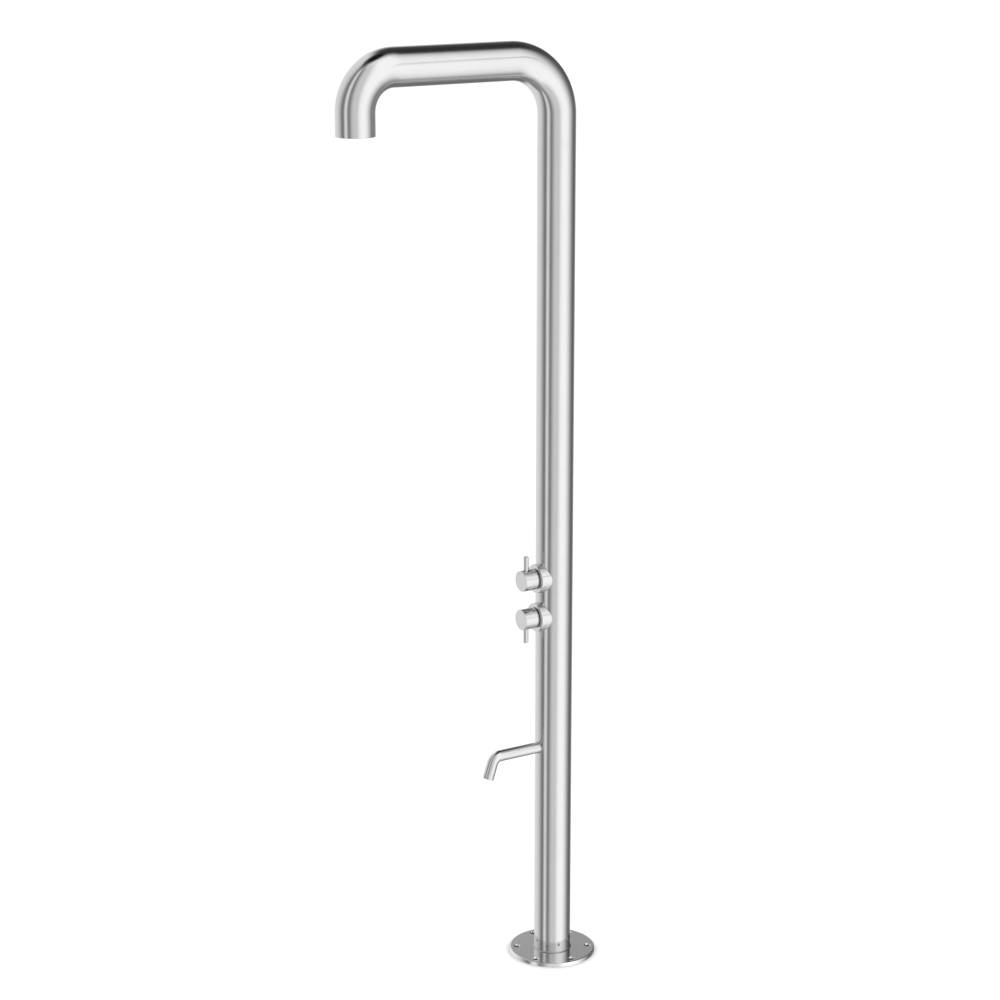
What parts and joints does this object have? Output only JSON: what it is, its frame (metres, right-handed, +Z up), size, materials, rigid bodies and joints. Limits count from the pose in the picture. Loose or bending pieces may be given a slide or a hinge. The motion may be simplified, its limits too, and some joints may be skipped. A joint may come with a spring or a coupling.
{
  "type": "outdoor shower post",
  "caption": "Free-standing outdoor shower post: a bent stainless tube on a round bolted base, with two quarter-turn knobs and a foot spout.",
  "frame": {"origin": "centre of the base plate's underside, on the post's axis and the floor", "axes": "+Z up along the post; the arm, knobs and foot spout point to -Y; +X to the right of someone who faces the post's back from -Y"},
  "size_m": [0.21, 0.6713, 2.2363],
  "materials": {
    "satin_stainless": "satin, ground along the tube",
    "turned_stainless": "fine turned",
    "machined_brass": "machined",
    "stainless_hardware": "plain",
    "stainless_pipe": "drawn",
    "spray_plate_steel": "satin",
    "black_rubber": "matt",
    "silicone": "soft matt",
    "alumina_ceramic": "lapped",
    "white_plastic": "moulded",
    "hose_plastic": "extruded",
    "grey_foam": "cut foam"
  },
  "bodies": {
    "post": {"post_tube": "satin_stainless", "base_flange": "satin_stainless", "foot_spout": "satin_stainless", "upper_collar": "turned_stainless", "upper_saddle_gasket": "black_rubber", "upper_valve_body": "machined_brass", "upper_clamp_nut": "stainless_hardware", "upper_cartridge_housing": "machined_brass", "upper_fixed_disc": "alumina_ceramic", "upper_seat_seal": "black_rubber", "upper_stem_seals": "black_rubber", "upper_body_seal": "black_rubber", "lower_collar": "turned_stainless", "lower_saddle_gasket": "black_rubber", "lower_valve_body": "machined_brass", "lower_clamp_nut": "stainless_hardware", "lower_cartridge_housing": "machined_brass", "lower_fixed_disc": "alumina_ceramic", "lower_seat_seal": "black_rubber", "lower_stem_seals": "black_rubber", "lower_body_seal": "black_rubber", "inlet_fitting": "machined_brass", "inlet_lock_nut": "machined_brass", "inlet_filter": "white_plastic", "check_valve": "white_plastic", "supply_hose": "hose_plastic", "riser_hose": "hose_plastic", "link_pipe": "stainless_pipe", "foot_pipe": "stainless_pipe", "compression_nuts": "machined_brass", "compression_olives": "machined_brass", "riser_spacers": "grey_foam", "arm_spacer": "grey_foam", "supply_spacer": "grey_foam", "spout_back_nut": "machined_brass", "foot_elbow": "machined_brass", "spout_aerator": "white_plastic", "aerator_washer": "black_rubber", "head_housing": "machined_brass", "spray_plate": "spray_plate_steel", "nozzle_mat": "silicone", "head_seal": "black_rubber", "plate_screws": "stainless_hardware", "head_set_screw": "stainless_hardware"},
    "upper_valve_knob": {"upper_knob": "turned_stainless", "upper_pin_lever": "turned_stainless", "upper_spindle": "machined_brass", "upper_retaining_ring": "stainless_hardware", "upper_moving_disc": "alumina_ceramic"},
    "lower_valve_knob": {"lower_knob": "turned_stainless", "lower_pin_lever": "turned_stainless", "lower_spindle": "machined_brass", "lower_retaining_ring": "stainless_hardware", "lower_moving_disc": "alumina_ceramic"}
  },
  "joints": [
    {"name": "upper_knob_turn", "type": "hinge", "parent": "post", "child": "upper_valve_knob", "pos_m": [0, -0.07945, 0.97], "axis": [0, -1, 0], "range_deg": [0, 90]},
    {"name": "lower_knob_turn", "type": "hinge", "parent": "post", "child": "lower_valve_knob", "pos_m": [0, -0.07945, 0.874], "axis": [0, -1, 0], "range_deg": [0, 90]}
  ]
}
